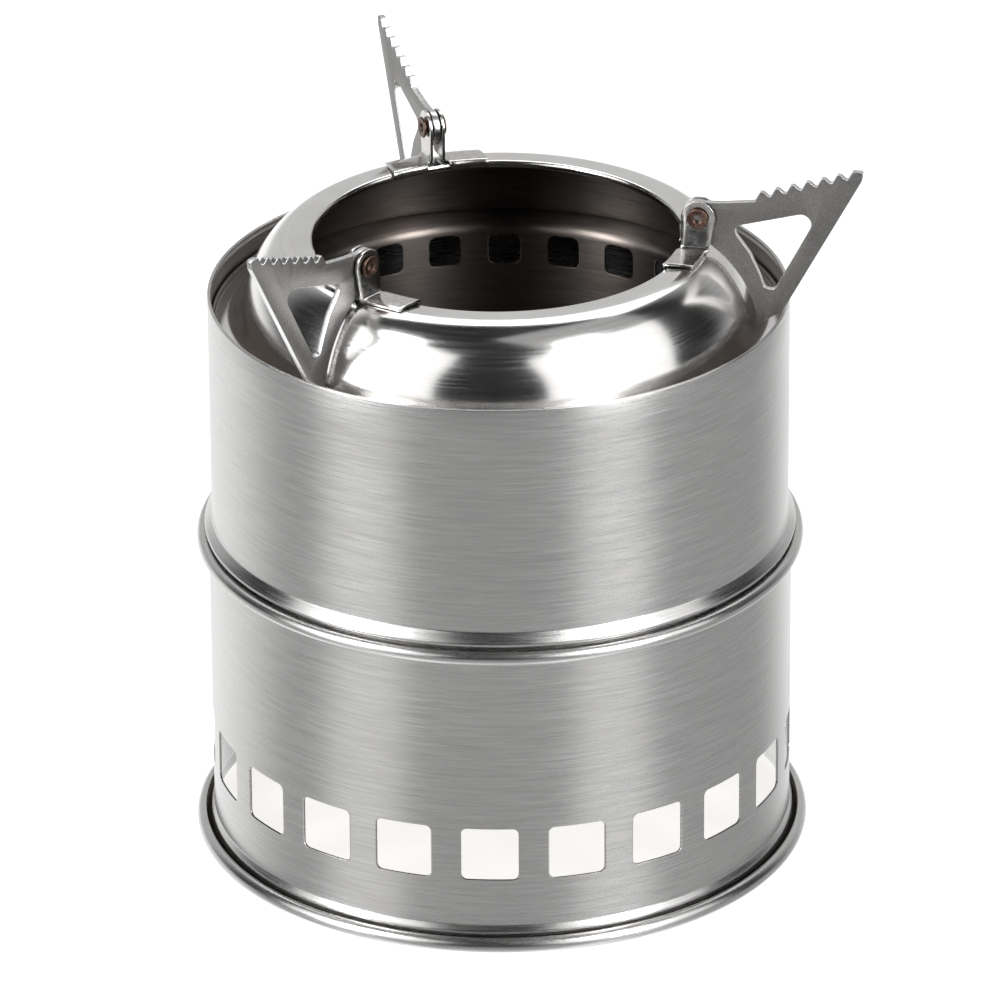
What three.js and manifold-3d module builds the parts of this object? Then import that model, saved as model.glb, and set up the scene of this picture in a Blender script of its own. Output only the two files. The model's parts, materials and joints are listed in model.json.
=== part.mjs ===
// Wood-burning rocket stove in pressed stainless sheet: a windowed base, a double-walled burner
// that nests in it, and a pot ring whose three arms fold on hollow rivets.
// Millimetres, +Z up, ground at z = 0. Every radius is measured from the stove's own axis.

import * as THREE from "three";
import { mergeVertices } from "three/addons/utils/BufferGeometryUtils.js";
import Module from "manifold-3d";

const wasm = await Module();
wasm.setup();

// ---- Driving dimensions -----------------------------------------------------------------------

const SHEET = 0.5; // thickness of every pressed shell
const GAP = 0.3; // play between pieces that touch
const SIDES = 42; // facets round the stove: two to each air window, fourteen between arms
const CHAMBER_SIDES = 48; // facets round the chamber: two to each port

// Base: wall, beads and air windows
const FOOT_RADIUS = 67.5; // outside of the bottom bead, the widest round of the stove
const FOOT_BEAD = 1.8; // outside radius of the bottom curl
const BASE_RADIUS = 63.7; // outside of the plain wall
const TOP_BEAD = 1.55; // outside radius of the top curl
const BASE_HEIGHT = 71.85; // top of the top curl
const FLARE_FROM = 12.5; // the wall steps outwards below here ...
const FLARE_TO = 16.2; // ... and is plain above here
const WINDOW_COUNT = 21;
const WINDOW_PHASE = 90 / WINDOW_COUNT; // angle of the first window from the first arm, degrees
const WINDOW_WIDTH = 12.4;
const WINDOW_BOTTOM = 16.6;
const WINDOW_TOP = 28.8;
const WINDOW_CORNER = 1.3;

// Ash pan and the three tabs it hangs on
const TAB_COUNT = 3;
const TAB_WIDTH = 12;
const TAB_THICK = 0.8;
const TAB_SHELF = 46.4; // underside of the shelf
const TAB_TOP = 55;
const TAB_INNER = 50.2;
const PAN_RIM_RADIUS = 52.6;
const PAN_FLOOR_RADIUS = 45.5;
const PAN_DEPTH = 6.8;

// Burner: outer wall, fire chamber and grate
const WALL_RADIUS = 63; // outside of the outer wall
const RIM_HEIGHT = 127.4;
const HEM_DEPTH = 1.6; // height of the folded rim
const HEM_THICK = 0.75;
const HEM_ROUND = 0.2;
const RIB_RADIUS = 65.6; // outside of the rib that rests on the base
const RIB_TOP = 76.1;
const NECK_RADIUS = 62.9; // outside of the neck inside the base
const NECK_BOTTOM = 61;
const CHAMBER_RADIUS = 51.5; // outside of the chamber wall
const CHAMBER_BOTTOM = 62.5;
const CHAMBER_SHOULDER = 120.5; // top of the chamber's flange
const PORT_COUNT = 24;
const PORT_PHASE = 9.5;
const PORT_WIDTH = 7;
const PORT_BOTTOM = 110.8;
const PORT_TOP = 118;
const PORT_CORNER = 2.2;
const GRATE_THICK = 0.8;
const GRATE_HOLE = 3;
const GRATE_RINGS = [
  { radius: 14, count: 6 },
  { radius: 27, count: 12 },
  { radius: 40, count: 18 },
];

// Pot ring
const RING_OPENING = 40;
const RING_TOP = 140.2;
const RING_EDGE = 61.4; // outside of the ring's flange

// Arms, in the arm's own plane: u runs outwards and v upwards from the rivet
const ARM_COUNT = 3;
const PIVOT_RADIUS = 43.9;
const PIVOT_HEIGHT = 148.1;
const ARM_THICK = 1.4;
const EYE_RADIUS = 3.6;
const TOOTH_COUNT = 7;
const TOOTH_START = { u: 12.0, v: 4.3 };
const TOOTH_PITCH = 3.32;
const TOOTH_RISE = 1.03; // each tooth stands this much higher than the one before
const TOOTH_DEPTH = 1.25;
const ARM_SWEEP = 27.5; // the arm's lower end stays this near the rivet, to swing clear of the rim

// Brackets and rivets
const EAR_THICK = 0.8;
const EAR_RADIUS = 3.7;
const CLIP_THICK = 0.6;
const CLIP_OUTER = 46.4;
const CLIP_LENGTH = 11; // how far a bracket's foot runs along the ring
const RIVET_RADIUS = 1.5;
const RIVET_HEAD = 2.4;
const RIVET_HEAD_THICK = 0.5;
const RIVET_BORE = 0.9;

// ---- Materials ---------------------------------------------------------------------------------

const steel = (color, roughness) => new THREE.MeshStandardMaterial({ color, roughness, metalness: 1 });
const MATERIALS = {
  brushed: () => steel(0xa8a8a6, 0.38),
  polished: () => steel(0xd2d2d0, 0.16),
  arm: () => steel(0x6e6c6a, 0.5),
  inner: () => steel(0x77736e, 0.45),
  rivet: () => steel(0x6a4331, 0.42),
};

// ---- Solids ------------------------------------------------------------------------------------

// A three.js geometry as a manifold solid, with its shared corners merged.
function solid(geometry) {
  const bare = geometry.clone();
  bare.deleteAttribute("normal");
  bare.deleteAttribute("uv");
  const merged = mergeVertices(bare, 1e-4);
  const mesh = new wasm.Mesh({
    numProp: 3,
    vertProperties: merged.attributes.position.array,
    triVerts: new Uint32Array(merged.index.array),
  });
  return new wasm.Manifold(mesh);
}

// A manifold solid as a three.js geometry with flat faces.
function geometryOf(body) {
  const mesh = body.getMesh();
  const geometry = new THREE.BufferGeometry();
  geometry.setAttribute("position", new THREE.BufferAttribute(mesh.vertProperties, 3));
  geometry.setIndex(new THREE.BufferAttribute(mesh.triVerts, 1));
  const flat = geometry.toNonIndexed();
  flat.computeVertexNormals();
  return flat;
}

function part(name, body, material) {
  const mesh = new THREE.Mesh(geometryOf(body), material());
  mesh.name = name;
  return mesh;
}

const radians = (degrees) => THREE.MathUtils.degToRad(degrees);
const point = (r, z) => new THREE.Vector2(r, z);

// Points on an arc, angles in degrees, counter-clockwise when `to` is the larger.
function arc(r, z, radius, from, to, steps) {
  return Array.from({ length: steps + 1 }, (_, i) => {
    const angle = radians(from + ((to - from) * i) / steps);
    return point(r + radius * Math.cos(angle), z + radius * Math.sin(angle));
  });
}

// A curled edge as part of an octagon whose flats lie at `radius`, so that its top and foot are level.
function curlPath(r, z, radius, from, to) {
  return arc(r, z, radius / Math.cos(Math.PI / 8), from, to, Math.abs(to - from) / 45);
}

// The path moved sideways by `offset`, mitred at its corners.
function offsetPath(path, offset) {
  const normals = path.slice(1).map((p, i) => {
    const along = p.clone().sub(path[i]).normalize();
    return point(-along.y, along.x);
  });
  return path.map((p, i) => {
    const before = normals[Math.max(i - 1, 0)];
    const after = normals[Math.min(i, normals.length - 1)];
    const mitre = before.clone().add(after).normalize();
    return p.clone().addScaledVector(mitre, offset / mitre.dot(after));
  });
}

// A closed (r, z) outline turned round the Z axis.
function revolve(outline, sides) {
  const order = THREE.ShapeUtils.isClockWise(outline) ? [...outline].reverse() : outline;
  const turned = new THREE.LatheGeometry([...order, order[0]], sides);
  return solid(turned.rotateX(Math.PI / 2).rotateZ(Math.PI / 2)); // a facet's corner is on +X
}

// Sheet of even thickness whose middle follows the (r, z) path, turned round the Z axis.
function sheetOfRevolution(path, thickness = SHEET, sides = SIDES) {
  const outer = offsetPath(path, thickness / 2);
  const inner = offsetPath(path, -thickness / 2);
  return revolve([...outer, ...inner.reverse()], sides);
}

function extrude(shape, depth, curveSegments) {
  return new THREE.ExtrudeGeometry(shape, { depth, curveSegments, bevelEnabled: false });
}

function roundedRectangle(width, height, corner) {
  const [x, y] = [width / 2 - corner, height / 2 - corner];
  const shape = new THREE.Shape();
  shape.absarc(x, y, corner, 0, Math.PI / 2);
  shape.absarc(-x, y, corner, Math.PI / 2, Math.PI);
  shape.absarc(-x, -y, corner, Math.PI, 1.5 * Math.PI);
  shape.absarc(x, -y, corner, 1.5 * Math.PI, 2 * Math.PI);
  return shape;
}

// Bars that cut a row of equal openings through a wall.
function openingCutters({ count, phase, width, bottom, top, corner, from, to }) {
  const height = top - bottom;
  const bar = extrude(roundedRectangle(width, height, corner), to - from, 1);
  bar.rotateX(Math.PI / 2).rotateZ(Math.PI / 2); // the bar now runs along +X, its height along +Z
  bar.translate(from, 0, bottom + height / 2);
  const cutters = Array.from({ length: count }, (_, i) =>
    solid(bar.clone().rotateZ(radians(phase + (360 * i) / count))),
  );
  return wasm.Manifold.union(cutters);
}

// An outline drawn in (radius, height) and given a thickness across the radial plane y = 0.
function radialPlate(shape, from, to, curveSegments) {
  const plate = extrude(shape, to - from, curveSegments);
  plate.rotateX(Math.PI / 2); // height now runs along +Z and the thickness along -Y
  return solid(plate.translate(0, to, 0));
}

// ---- Base --------------------------------------------------------------------------------------

function baseShell() {
  const foot = FOOT_RADIUS - FOOT_BEAD;
  const footCurl = curlPath(foot, FOOT_BEAD, FOOT_BEAD - SHEET / 2, 112.5, -157.5);
  const wall = BASE_RADIUS - SHEET / 2;
  const flared = foot - FOOT_BEAD + SHEET / 2;
  const curl = TOP_BEAD - SHEET / 2;
  const topCurl = curlPath(wall + curl, BASE_HEIGHT - TOP_BEAD, curl, 157.5, -112.5);
  const path = [...footCurl, point(flared, FLARE_FROM), point(wall, FLARE_TO), ...topCurl];
  const windows = openingCutters({
    count: WINDOW_COUNT,
    phase: WINDOW_PHASE,
    width: WINDOW_WIDTH,
    bottom: WINDOW_BOTTOM,
    top: WINDOW_TOP,
    corner: WINDOW_CORNER,
    from: BASE_RADIUS - 6,
    to: BASE_RADIUS + 4,
  });
  return sheetOfRevolution(path).subtract(windows);
}

// An L-shaped strip: one leg spot-welded to the wall, the other a shelf for the pan's rim.
function panTab() {
  const wallSide = BASE_RADIUS - SHEET - 4 * GAP;
  const shelfTop = TAB_SHELF + TAB_THICK;
  const shape = new THREE.Shape([
    point(TAB_INNER, TAB_SHELF),
    point(wallSide, TAB_SHELF),
    point(wallSide, TAB_TOP),
    point(wallSide - TAB_THICK, TAB_TOP),
    point(wallSide - TAB_THICK, shelfTop),
    point(TAB_INNER, shelfTop),
  ]);
  return radialPlate(shape, -TAB_WIDTH / 2, TAB_WIDTH / 2, 1);
}

function ashPan() {
  const rim = TAB_SHELF + TAB_THICK + GAP + SHEET / 2;
  const floor = rim - PAN_DEPTH;
  const path = [
    point(0, floor),
    point(PAN_FLOOR_RADIUS, floor),
    point(PAN_FLOOR_RADIUS + 1.6, floor + 1.2),
    point(PAN_FLOOR_RADIUS + 3.2, rim),
    point(PAN_RIM_RADIUS, rim),
  ];
  return sheetOfRevolution(path);
}

// ---- Burner ------------------------------------------------------------------------------------

function outerWall() {
  const wall = WALL_RADIUS - SHEET / 2;
  const neck = NECK_RADIUS - SHEET / 2;
  const ribUnderside = BASE_HEIGHT + GAP + SHEET / 2;
  const path = [
    point(wall, RIM_HEIGHT - 0.2),
    point(wall, RIB_TOP),
    point(RIB_RADIUS - 0.9, ribUnderside + 1.6),
    point(RIB_RADIUS - 0.45, ribUnderside + 0.75),
    point(RIB_RADIUS - 0.9, ribUnderside),
    point(neck, ribUnderside - 0.1),
    point(neck, NECK_BOTTOM),
  ];
  const hemInside = WALL_RADIUS - HEM_THICK;
  const hem = [
    point(WALL_RADIUS, RIM_HEIGHT - HEM_DEPTH),
    point(WALL_RADIUS, RIM_HEIGHT - HEM_ROUND),
    point(WALL_RADIUS - HEM_ROUND, RIM_HEIGHT),
    point(hemInside + HEM_ROUND, RIM_HEIGHT),
    point(hemInside, RIM_HEIGHT - HEM_ROUND),
    point(hemInside, RIM_HEIGHT - HEM_DEPTH),
  ];
  return sheetOfRevolution(path).add(revolve(hem, SIDES));
}

function fireChamber() {
  const wall = CHAMBER_RADIUS - SHEET / 2;
  const shoulder = CHAMBER_SHOULDER - SHEET / 2;
  const flangeEdge = WALL_RADIUS - SHEET - GAP - SHEET / 2;
  const bend = 2;
  const path = [
    point(flangeEdge, shoulder + 1.6),
    point(flangeEdge, shoulder),
    ...arc(wall + bend, shoulder - bend, bend, 90, 180, 3),
    point(wall, CHAMBER_BOTTOM + SHEET / 2),
    point(wall - 4, CHAMBER_BOTTOM + SHEET / 2),
  ];
  const ports = openingCutters({
    count: PORT_COUNT,
    phase: PORT_PHASE,
    width: PORT_WIDTH,
    bottom: PORT_BOTTOM,
    top: PORT_TOP,
    corner: PORT_CORNER,
    from: wall - 5,
    to: wall + 5,
  });
  return sheetOfRevolution(path, SHEET, CHAMBER_SIDES).subtract(ports);
}

function fireGrate() {
  const bottom = CHAMBER_BOTTOM + SHEET + GAP;
  const edge = CHAMBER_RADIUS - SHEET - 2 * GAP;
  const disc = new THREE.Shape().absarc(0, 0, edge, 0, 2 * Math.PI);
  const holeAt = (x, y) => {
    const hole = new THREE.CylinderGeometry(GRATE_HOLE, GRATE_HOLE, 4 * GRATE_THICK, 8);
    return solid(hole.rotateX(Math.PI / 2).translate(x, y, bottom));
  };
  const holes = GRATE_RINGS.flatMap(({ radius, count }) =>
    Array.from({ length: count }, (_, i) => {
      const angle = (2 * Math.PI * i) / count;
      return holeAt(radius * Math.cos(angle), radius * Math.sin(angle));
    }),
  );
  const plate = extrude(disc, GRATE_THICK, SIDES / 2).translate(0, 0, bottom);
  return solid(plate).subtract(wasm.Manifold.union([holeAt(0, 0), ...holes]));
}

// ---- Pot ring ----------------------------------------------------------------------------------

// The ring's profile: flat lip round the opening, rounded shoulder, swept side and flat flange.
function potRing() {
  const top = RING_TOP - SHEET / 2;
  const flange = CHAMBER_SHOULDER + GAP + SHEET / 2;
  const shoulder = new THREE.CubicBezierCurve(
    point(RING_OPENING + 4, top),
    point(RING_OPENING + 7.5, top - 0.1),
    point(RING_OPENING + 10.5, top - 3.4),
    point(RING_OPENING + 13.1, top - 8.3),
  );
  const sweep = new THREE.CubicBezierCurve(
    point(RING_OPENING + 13.1, top - 8.3),
    point(RING_OPENING + 15.2, top - 12.6),
    point(RING_OPENING + 15, flange + 0.2),
    point(RING_OPENING + 18.4, flange),
  );
  const path = [
    point(RING_OPENING + SHEET / 2, top - 1.1),
    point(RING_OPENING + SHEET, top),
    ...shoulder.getPoints(3),
    ...sweep.getPoints(3).slice(1),
    point(RING_EDGE, flange),
  ];
  return sheetOfRevolution(path);
}

// The clip that a bracket's foot is cut from: it lies on the ring's lip and hooks over its edge.
function clipRing() {
  const bottom = RING_TOP + GAP + CLIP_THICK / 2;
  const hook = RING_OPENING - GAP - CLIP_THICK / 2;
  const path = [
    point(CLIP_OUTER, bottom),
    point(hook, bottom),
    point(hook, RING_TOP - 2.4),
  ];
  return sheetOfRevolution(path, CLIP_THICK);
}

const earInside = ARM_THICK / 2 + GAP;
const earOutside = earInside + EAR_THICK;

// One L-shaped half of an arm's bracket; side is +1 or -1 across the arm.
function armBracket(side) {
  const footTop = RING_TOP + GAP + CLIP_THICK;
  const footSpan = CLIP_LENGTH - earInside;
  const box = new THREE.BoxGeometry(20, footSpan, 20);
  box.translate(PIVOT_RADIUS, side * (earInside + footSpan / 2), RING_TOP);
  const foot = clipRing().intersect(solid(box));

  const ear = new THREE.Shape();
  ear.moveTo(PIVOT_RADIUS - EAR_RADIUS, footTop - CLIP_THICK / 2);
  ear.lineTo(PIVOT_RADIUS + EAR_RADIUS * 0.7, footTop - CLIP_THICK / 2);
  ear.absarc(PIVOT_RADIUS, PIVOT_HEIGHT, EAR_RADIUS, 0, Math.PI);
  ear.holes.push(new THREE.Path().absarc(PIVOT_RADIUS, PIVOT_HEIGHT, RIVET_RADIUS + GAP, 0, 2 * Math.PI));
  const [from, to] = side > 0 ? [earInside, earOutside] : [-earOutside, -earInside];
  return foot.add(radialPlate(ear, from, to, 8));
}

function rivet() {
  const shaft = earOutside + GAP;
  const head = shaft + RIVET_HEAD_THICK;
  const outline = [
    point(RIVET_BORE, -head),
    point(RIVET_HEAD - 0.15, -head),
    point(RIVET_HEAD, -shaft),
    point(RIVET_RADIUS, -shaft),
    point(RIVET_RADIUS, shaft),
    point(RIVET_HEAD, shaft),
    point(RIVET_HEAD - 0.15, head),
    point(RIVET_BORE, head),
  ];
  return revolve(outline, 14);
}

// ---- Pot arms ----------------------------------------------------------------------------------

// Outline of an arm with the rivet at (0, 0): eye, smooth crest, teeth, outer edge, lower end, inner edge.
function armShape() {
  const shape = new THREE.Shape();
  shape.absarc(0, 0, EYE_RADIUS, radians(250), radians(70), true);
  shape.quadraticCurveTo(5.5, 3.4, TOOTH_START.u, TOOTH_START.v);
  for (let i = 0; i < TOOTH_COUNT; i++) {
    const u = TOOTH_START.u + TOOTH_PITCH * i;
    const v = TOOTH_START.v + TOOTH_RISE * i;
    const last = i === TOOTH_COUNT - 1;
    shape.lineTo(u + 0.35 * TOOTH_PITCH, v + TOOTH_RISE + TOOTH_DEPTH);
    shape.lineTo(u + 0.6 * TOOTH_PITCH, v + TOOTH_RISE + TOOTH_DEPTH);
    if (!last) shape.lineTo(u + TOOTH_PITCH, v + TOOTH_RISE);
  }
  shape.quadraticCurveTo(35.9, 12.6, 35.2, 10.7);
  shape.absarc(0, 0, ARM_SWEEP, radians(-47), radians(-59), true);
  shape.quadraticCurveTo(13.3, -24.5, 12.9, -22.9);
  shape.quadraticCurveTo(11.8, -17.6, 9.1, -13.4);
  shape.quadraticCurveTo(5.6, -8.4, -0.6, -3.9);
  shape.holes.push(new THREE.Path().absarc(0, 0, RIVET_RADIUS + GAP, 0, 2 * Math.PI));
  shape.holes.push(armWindow());
  return shape;
}

// The rounded triangular cut-out of an arm, drawn the other way round from the outline.
function armWindow() {
  const path = new THREE.Path();
  path.moveTo(9.6, -1.0);
  path.quadraticCurveTo(6.2, -2.0, 7.6, -4.6);
  path.quadraticCurveTo(12.0, -8.8, 13.8, -14.6);
  path.quadraticCurveTo(15.5, -17.6, 17.4, -14.8);
  path.lineTo(25.0, -0.2);
  path.quadraticCurveTo(26.6, 3.4, 22.8, 2.7);
  return path;
}

function potArm() {
  return radialPlate(armShape(), -ARM_THICK / 2, ARM_THICK / 2, 5);
}

// ---- Assembly ----------------------------------------------------------------------------------

function base() {
  const group = new THREE.Group();
  group.add(part("base_shell", baseShell(), MATERIALS.brushed));
  for (let i = 0; i < TAB_COUNT; i++) {
    const tab = part(`ash_pan_tab_${i + 1}`, panTab(), MATERIALS.inner);
    tab.rotation.z = radians((360 * i) / TAB_COUNT);
    group.add(tab);
  }
  group.add(part("ash_pan", ashPan(), MATERIALS.inner));
  return group;
}

function burner() {
  const group = new THREE.Group();
  group.add(part("outer_wall", outerWall(), MATERIALS.brushed));
  group.add(part("fire_chamber", fireChamber(), MATERIALS.inner));
  group.add(part("fire_grate", fireGrate(), MATERIALS.inner));
  return group;
}

// One arm with its bracket halves and rivet, built for the +X direction.
function armSet(number) {
  const group = new THREE.Group();
  group.add(part(`arm_bracket_left_${number}`, armBracket(1), MATERIALS.polished));
  group.add(part(`arm_bracket_right_${number}`, armBracket(-1), MATERIALS.polished));

  const pin = part(`rivet_${number}`, rivet(), MATERIALS.rivet);
  pin.position.set(PIVOT_RADIUS, 0, PIVOT_HEIGHT);
  pin.rotation.x = Math.PI / 2;
  group.add(pin);

  const arm = part(`pot_arm_${number}`, potArm(), MATERIALS.arm);
  arm.position.set(PIVOT_RADIUS, 0, PIVOT_HEIGHT);
  group.add(arm);
  return group;
}

function potSupport() {
  const group = new THREE.Group();
  group.add(part("pot_ring", potRing(), MATERIALS.polished));
  for (let i = 0; i < ARM_COUNT; i++) {
    const set = armSet(i + 1);
    set.rotation.z = radians((360 * i) / ARM_COUNT);
    group.add(set);
  }
  return group;
}

// The frame's origin is the middle of the footprint: the first arm reaches out past the foot bead
// on +X and nothing does on -X, so the stove's axis stands to the -X side of the origin.
const ARM_REACH = PIVOT_RADIUS + 35.5;
const AXIS_X = -(ARM_REACH - FOOT_RADIUS) / 2;

const stove = new THREE.Group();
stove.name = "rocket_stove";
stove.add(base(), burner(), potSupport());
stove.position.x = AXIS_X;

export default stove;
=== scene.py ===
"""Looks of a wood-burning rocket stove in pressed stainless sheet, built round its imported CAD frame.

Profiles are in millimetres: r is measured from the stove's own axis and z from the ground. The
main radii and heights come from the frame's boxes. Each arm set is built for the +X direction
and turned into its place.
"""

import json
import math

import bmesh
import bpy
from mathutils import Matrix, Vector

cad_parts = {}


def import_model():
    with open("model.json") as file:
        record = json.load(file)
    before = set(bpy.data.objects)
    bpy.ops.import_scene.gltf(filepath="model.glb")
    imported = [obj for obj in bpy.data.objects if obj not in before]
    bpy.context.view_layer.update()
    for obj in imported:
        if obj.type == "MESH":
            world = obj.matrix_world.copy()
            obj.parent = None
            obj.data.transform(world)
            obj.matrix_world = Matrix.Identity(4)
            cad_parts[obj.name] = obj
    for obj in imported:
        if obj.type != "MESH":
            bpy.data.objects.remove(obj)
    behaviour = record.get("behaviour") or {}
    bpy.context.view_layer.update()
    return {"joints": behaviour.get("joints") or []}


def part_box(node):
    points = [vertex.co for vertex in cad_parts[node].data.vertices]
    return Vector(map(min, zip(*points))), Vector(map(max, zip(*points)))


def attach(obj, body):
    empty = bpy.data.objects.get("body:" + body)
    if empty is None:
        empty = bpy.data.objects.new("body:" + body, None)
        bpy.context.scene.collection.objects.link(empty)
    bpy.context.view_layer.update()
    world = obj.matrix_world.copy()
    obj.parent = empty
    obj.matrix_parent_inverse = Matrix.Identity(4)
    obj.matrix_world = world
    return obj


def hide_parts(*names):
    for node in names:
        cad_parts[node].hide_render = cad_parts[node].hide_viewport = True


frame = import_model()

MM = 0.001

# ---- Sizes read from the frame ----------------------------------------------------------------


def box_mm(node):
    """Lowest and highest corner of a CAD node, in millimetres."""
    low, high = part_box(node)
    return low / MM, high / MM


def radius_mm(node):
    """Outside radius of a round CAD node, in millimetres."""
    low, high = box_mm(node)
    return (high.x - low.x) / 2


shell_low, shell_high = box_mm("base_shell")
AXIS_X = (shell_low.x + shell_high.x) / 2  # the stove's own axis
FOOT_RADIUS = radius_mm("base_shell")
BASE_TOP = shell_high.z
RIM_TOP = box_mm("outer_wall")[1].z
NECK_BOTTOM = box_mm("outer_wall")[0].z
RIB_RADIUS = radius_mm("outer_wall")
CHAMBER_BOTTOM = box_mm("fire_chamber")[0].z
LIP_RADIUS = radius_mm("fire_chamber")
GRATE_BOTTOM = box_mm("fire_grate")[0].z
GRATE_RADIUS = radius_mm("fire_grate")
PAN_RADIUS = radius_mm("ash_pan")
PAN_TOP = box_mm("ash_pan")[1].z
RING_TOP = box_mm("pot_ring")[1].z
RING_EDGE = radius_mm("pot_ring")
ARM_THICK = box_mm("pot_arm_1")[1].y - box_mm("pot_arm_1")[0].y

first_hinge = next(j for j in frame["joints"] if j["name"] == "arm_fold_1")
PIVOT_RADIUS = first_hinge["pos_m"][0] / MM - AXIS_X
PIVOT_HEIGHT = first_hinge["pos_m"][2] / MM
PIVOT = Vector(((AXIS_X + PIVOT_RADIUS) * MM, 0, PIVOT_HEIGHT * MM))  # of the arm that points along +X

# ---- Driving dimensions -----------------------------------------------------------------------

SHEET = 0.5
ROUND = 252  # steps round a plain shell: twelve to each air window
RING_ROUND = 288  # steps round the polished ring, whose reflections are sharper
END_STEPS = 4  # steps round the half-round edge of a sheet
FOOT_BEAD = 1.8  # outside radius of the curled foot
TOP_BEAD = 1.55
BASE_WALL = 63.45  # middle of the base's wall
FLARE_FROM, FLARE_TO = 4.1, 5.6  # heights between which the wall steps in above the foot
WINDOWS = {
    "count": 21,
    "phase": 90 / 21,
    "width": 12.4,
    "bottom": 16.6,
    "top": 28.8,
    "corner": 1.3,
}
WINDOW_BAND = (16.4, 30.0)  # heights of the strip of wall that holds the windows
UPPER_WALL = 62.75  # middle of the burner's outer wall
RIM_FOLD = 1.6  # height of the folded rim
WALL_SPLIT = 120  # the wall's inside shows above this height
RIB_NOSE = 0.6
RIB_GAP = 0.5  # the dark line between the rib and the base's bead
RIB_INSET = 0.8  # the rolled rib stays inside the faceted rib of the frame
NECK = 62.65  # middle of the neck that drops into the base
CHAMBER_WALL = 51.25  # middle of the chamber's wall
PORTS = {
    "count": 24,
    "phase": 9.5,
    "width": 7.0,
    "bottom": 110.8,
    "top": 118.0,
    "corner": 1.6,
}
PORT_BAND = (109.6, 118.2)
CHAMBER_SHOULDER = 120.25  # middle of the chamber's flange
CHAMBER_EDGE_TOP = 121.85
RING_OPENING = 40.0
ARM_COUNT = 3
BRACKET_SIDES = {"left": 1, "right": -1}
RIVET_BORE = 0.9

# ---- Profiles ---------------------------------------------------------------------------------


def arc(r, z, radius, start, end, steps):
    """Points on an arc, angles in degrees."""
    angles = [math.radians(start + (end - start) * i / steps) for i in range(steps + 1)]
    return [(r + radius * math.cos(a), z + radius * math.sin(a)) for a in angles]


def bezier(p0, p1, p2, p3, steps):
    """Points on a cubic Bezier curve."""
    points = []
    for i in range(steps + 1):
        t = i / steps
        weights = ((1 - t) ** 3, 3 * t * (1 - t) ** 2, 3 * t * t * (1 - t), t**3)
        terms = list(zip(weights, (p0, p1, p2, p3)))
        points.append(tuple(sum(w * p[k] for w, p in terms) for k in (0, 1)))
    return points


def filleted(corners, closed=False, steps=5):
    """A polyline of (x, y, radius) corners, each with a radius turned into an arc."""
    points = []
    count = len(corners)
    for i, (x, y, radius) in enumerate(corners):
        here = Vector((x, y))
        if radius == 0 or (not closed and i in (0, count - 1)):
            points.append((x, y))
            continue
        before = (Vector(corners[i - 1][:2]) - here).normalized()
        after = (Vector(corners[(i + 1) % count][:2]) - here).normalized()
        half = before.angle(after) / 2
        middle = (before + after).normalized()
        centre = here + middle * (radius / math.sin(half))
        first = here + before * (radius / math.tan(half)) - centre
        last = here + after * (radius / math.tan(half)) - centre
        turn = first.angle_signed(last)
        for k in range(steps + 1):
            spoke = first.copy()
            spoke.rotate(Matrix.Rotation(-turn * k / steps, 2))
            points.append(tuple(centre + spoke))
    return points


def side_of(path, offset):
    """The path moved sideways by offset, mitred at its corners."""
    vectors = [Vector(p) for p in path]
    normals = []
    for a, b in zip(vectors, vectors[1:]):
        along = (b - a).normalized()
        normals.append(Vector((-along.y, along.x)))
    moved = []
    for i, p in enumerate(vectors):
        before = normals[max(i - 1, 0)]
        after = normals[min(i, len(normals) - 1)]
        mitre = (before + after).normalized()
        moved.append(tuple(p + mitre * (offset / mitre.dot(after))))
    return moved


def round_end(path, half):
    """Points of the half-round edge at the end of a path, from its left side to its right side."""
    tip, before = Vector(path[-1]), Vector(path[-2])
    along = (tip - before).normalized()
    left = Vector((-along.y, along.x))
    points = []
    for k in range(1, END_STEPS):
        angle = math.pi * k / END_STEPS
        sideways, onward = half * math.cos(angle), half * math.sin(angle)
        points.append(tuple(tip + left * sideways + along * onward))
    return points


# ---- Mesh builders ----------------------------------------------------------------------------


def at(r, angle, z):
    """A place in the row frame from millimetres and radians round the stove's axis."""
    return Vector(((AXIS_X + r * math.cos(angle)) * MM, r * math.sin(angle) * MM, z * MM))


def mark_creases(mesh, degrees):
    """Keeps edges sharper than this angle crisp and shades the rest smoothly."""
    for edge in mesh.edges:
        edge.smooth = len(edge.link_faces) != 2 or edge.calc_face_angle() < math.radians(degrees)
    for face in mesh.faces:
        face.smooth = True


def finished(name, mesh, crease=32):
    """An object from a bmesh, with its shading set."""
    bmesh.ops.remove_doubles(mesh, verts=mesh.verts, dist=1e-6)
    bmesh.ops.recalc_face_normals(mesh, faces=mesh.faces)
    mark_creases(mesh, crease)
    data = bpy.data.meshes.new(name)
    mesh.to_mesh(data)
    mesh.free()
    made = bpy.data.objects.new(name, data)
    bpy.context.scene.collection.objects.link(made)
    return made


def bridge(mesh, a, b, closed=True):
    """Faces between two rows of vertices. A vertex that both rows share is used once."""
    for k in range(len(a) if closed else len(a) - 1):
        n = (k + 1) % len(a)
        corners = list(dict.fromkeys((a[k], a[n], b[n], b[k])))
        if len(corners) > 2:
            mesh.faces.new(corners)


def turns(steps, start=0.0):
    """Evenly spaced angles round a circle, in radians."""
    return [start + 2 * math.pi * k / steps for k in range(steps)]


def add_revolved(mesh, outline, steps, start=0.0, closed=True, skipped=()):
    """Turns an (r, z) outline round the stove's axis. Points on the axis become one vertex."""
    rings = []
    for r, z in outline:
        if r < 1e-6:
            rings.append([mesh.verts.new(at(0, 0, z))] * steps)
        else:
            rings.append([mesh.verts.new(at(r, angle, z)) for angle in turns(steps, start)])
    pairs = list(zip(range(len(rings)), range(1, len(rings))))
    if closed:
        pairs.append((len(rings) - 1, 0))
    for i, j in pairs:
        if i not in skipped:
            bridge(mesh, rings[i], rings[j])


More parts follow.
